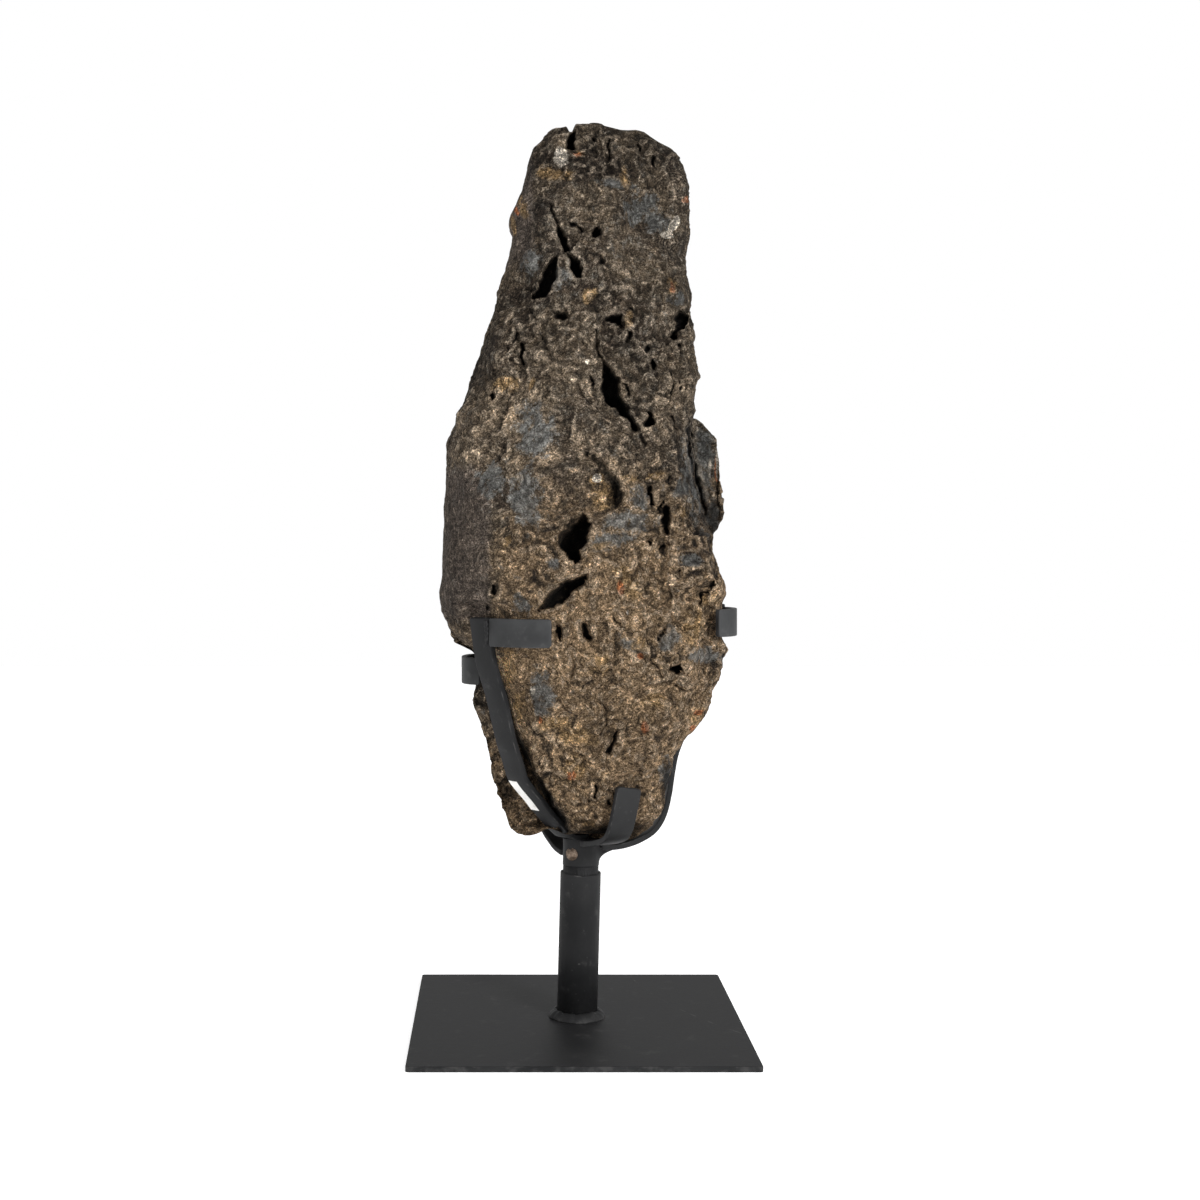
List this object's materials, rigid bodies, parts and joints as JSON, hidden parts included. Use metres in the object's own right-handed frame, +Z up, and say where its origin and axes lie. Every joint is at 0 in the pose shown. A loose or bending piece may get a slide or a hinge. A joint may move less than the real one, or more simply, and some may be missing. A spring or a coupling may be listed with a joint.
{
  "type": "semi-polished agate on a metal stand",
  "caption": "Tall agate boulder, rough and cavernous in front with one flat polished cut behind, held upright in a flat-bar steel cradle on a post and a square base plate.",
  "frame": {"origin": "middle of the base plate's underside, on the surface that the stand rests on", "axes": "+Z up, along the stone's length; -Y is the rough side that the picture shows and +Y the polished cut; +X to the right seen from the rough side"},
  "size_m": [0.305, 0.305, 0.846],
  "materials": {
    "rough_agate": "rough volcanic rind of an agate, grey-brown, with a glossy banded polished cut on the back",
    "black_paint": "black satin paint on mild steel, lightly scuffed and dusty",
    "bare_steel": "bare, lightly rusted steel",
    "white_paper": "blank white paper strip"
  },
  "bodies": {
    "root": {"agate_stone": "rough_agate", "base_plate": "black_paint", "post_tube": "black_paint", "post_weld": "black_paint", "cradle_stem": "black_paint", "stem_plug": "bare_steel", "cradle_weld": "black_paint", "left_arm": "black_paint", "left_band": "black_paint", "right_arm": "black_paint", "right_hook": "black_paint", "front_clip": "black_paint", "rear_arm": "black_paint", "left_hook": "black_paint", "blank_label": "white_paper"}
  },
  "joints": []
}
